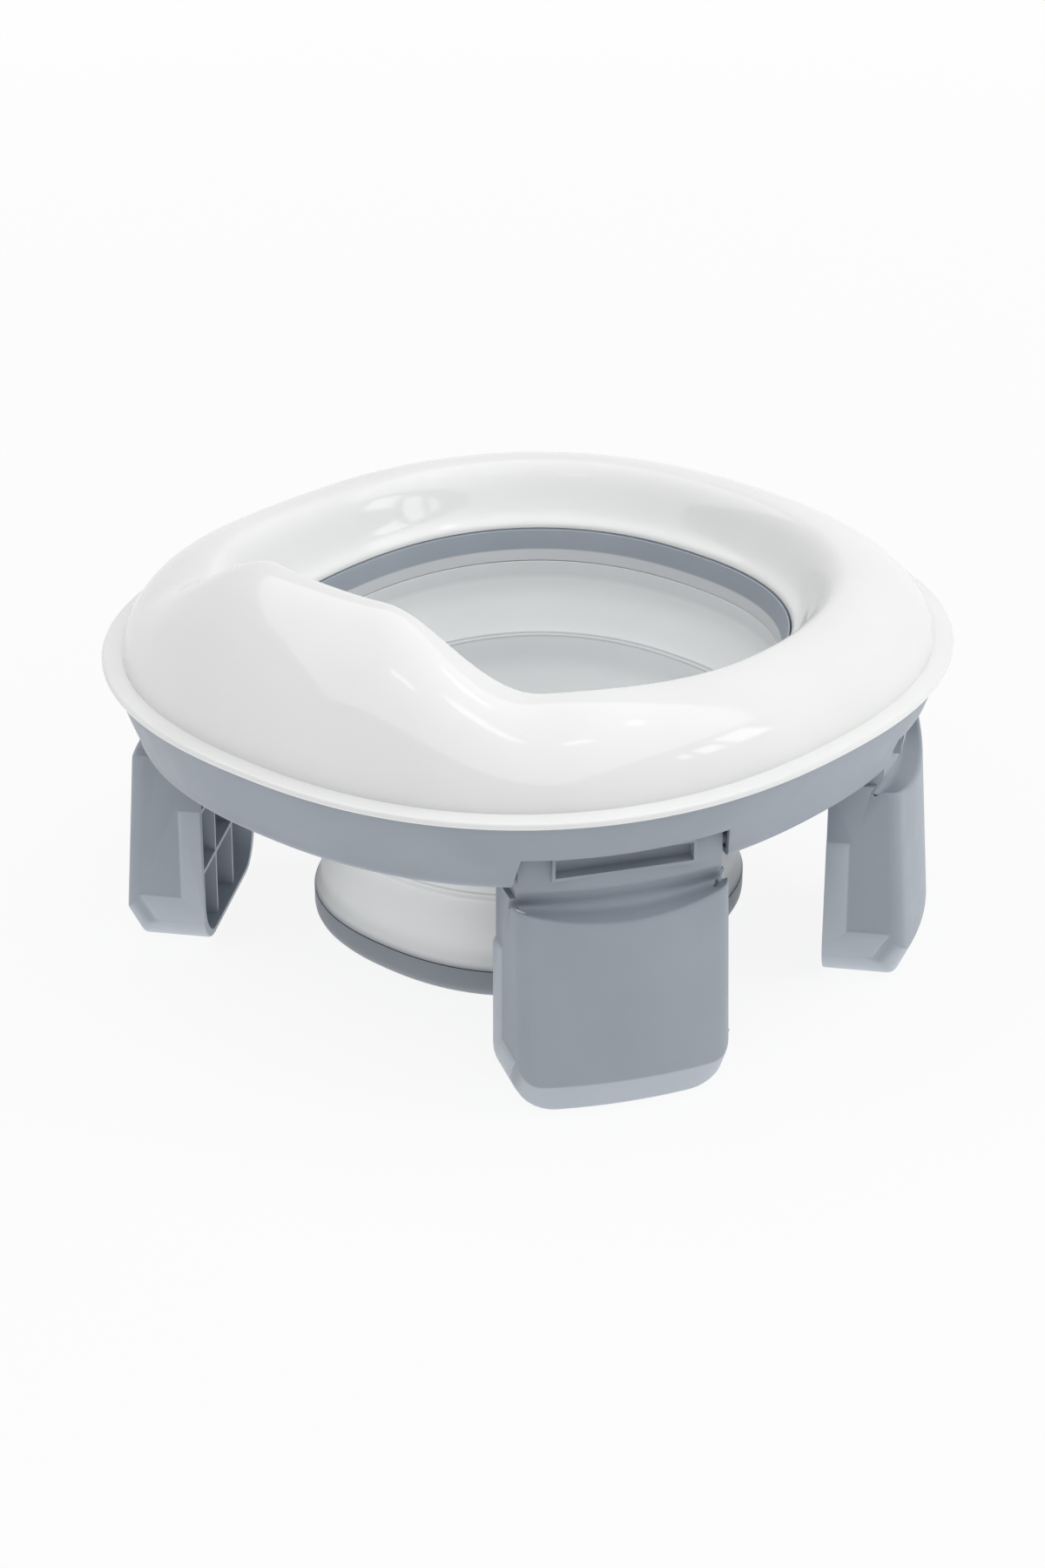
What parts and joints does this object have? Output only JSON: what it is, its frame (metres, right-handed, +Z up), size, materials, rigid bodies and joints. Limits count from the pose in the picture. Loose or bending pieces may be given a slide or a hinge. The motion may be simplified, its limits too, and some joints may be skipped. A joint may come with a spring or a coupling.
{
  "type": "potty training chair",
  "caption": "Low potty chair with a domed seat ring and splash guard, folding ribbed legs and a lift-out collapsible bowl.",
  "frame": {"origin": "on the floor, under the middle of the seat", "axes": "+X to the right of someone facing the splash guard's way out of the seat, -Y towards the splash guard, +Z up"},
  "size_m": [0.324, 0.337, 0.1888],
  "materials": {
    "seat_white": "gloss",
    "base_grey": "satin",
    "bowl_white": "satin",
    "pin_steel": "satin"
  },
  "bodies": {
    "frame": {"seat_ring": "seat_white", "base_ring": "base_grey", "hinge_pin_front_left": "pin_steel", "hinge_pin_front_right": "pin_steel", "hinge_pin_rear_left": "pin_steel", "hinge_pin_rear_right": "pin_steel", "seat_screw_front": "pin_steel", "seat_screw_right": "pin_steel", "seat_screw_rear_right": "pin_steel", "seat_screw_rear_left": "pin_steel", "seat_screw_left": "pin_steel"},
    "leg_front_left": {"leg_front_left": "base_grey"},
    "leg_front_right": {"leg_front_right": "base_grey"},
    "leg_rear_left": {"leg_rear_left": "base_grey"},
    "leg_rear_right": {"leg_rear_right": "base_grey"},
    "bowl": {"bowl_rim": "base_grey", "bowl_wall_upper": "bowl_white"},
    "bowl_middle": {"bowl_wall_middle": "bowl_white"},
    "bowl_bottom": {"bowl_wall_lower": "bowl_white", "bowl_dish": "base_grey"}
  },
  "joints": [
    {"name": "front_left_leg_fold", "type": "hinge", "parent": "frame", "child": "leg_front_left", "pos_m": [-0.11669, -0.08247, 0.1023], "axis": [-0.5225, 0.8526, 0], "range_deg": [0, 90]},
    {"name": "front_right_leg_fold", "type": "hinge", "parent": "frame", "child": "leg_front_right", "pos_m": [0.11669, -0.08247, 0.1023], "axis": [-0.5225, -0.8526, 0], "range_deg": [0, 90]},
    {"name": "rear_left_leg_fold", "type": "hinge", "parent": "frame", "child": "leg_rear_left", "pos_m": [-0.11669, 0.08247, 0.1023], "axis": [0.5225, 0.8526, 0], "range_deg": [0, 90]},
    {"name": "rear_right_leg_fold", "type": "hinge", "parent": "frame", "child": "leg_rear_right", "pos_m": [0.11669, 0.08247, 0.1023], "axis": [0.5225, -0.8526, 0], "range_deg": [0, 90]},
    {"name": "bowl_lift", "type": "slide", "parent": "frame", "child": "bowl", "axis": [0, 0, 1], "range_m": [0, 0.18]},
    {"name": "bowl_fold", "type": "slide", "parent": "bowl", "child": "bowl_bottom", "axis": [0, 0, 1], "range_m": [0, 0.048]},
    {"name": "bowl_middle_fold", "type": "slide", "parent": "bowl", "child": "bowl_middle", "axis": [0, 0, 1], "range_m": [0, 0.024]}
  ],
  "couplings": [
    {"joint": "bowl_middle_fold", "follows": "bowl_fold", "ratio": 0.5}
  ]
}
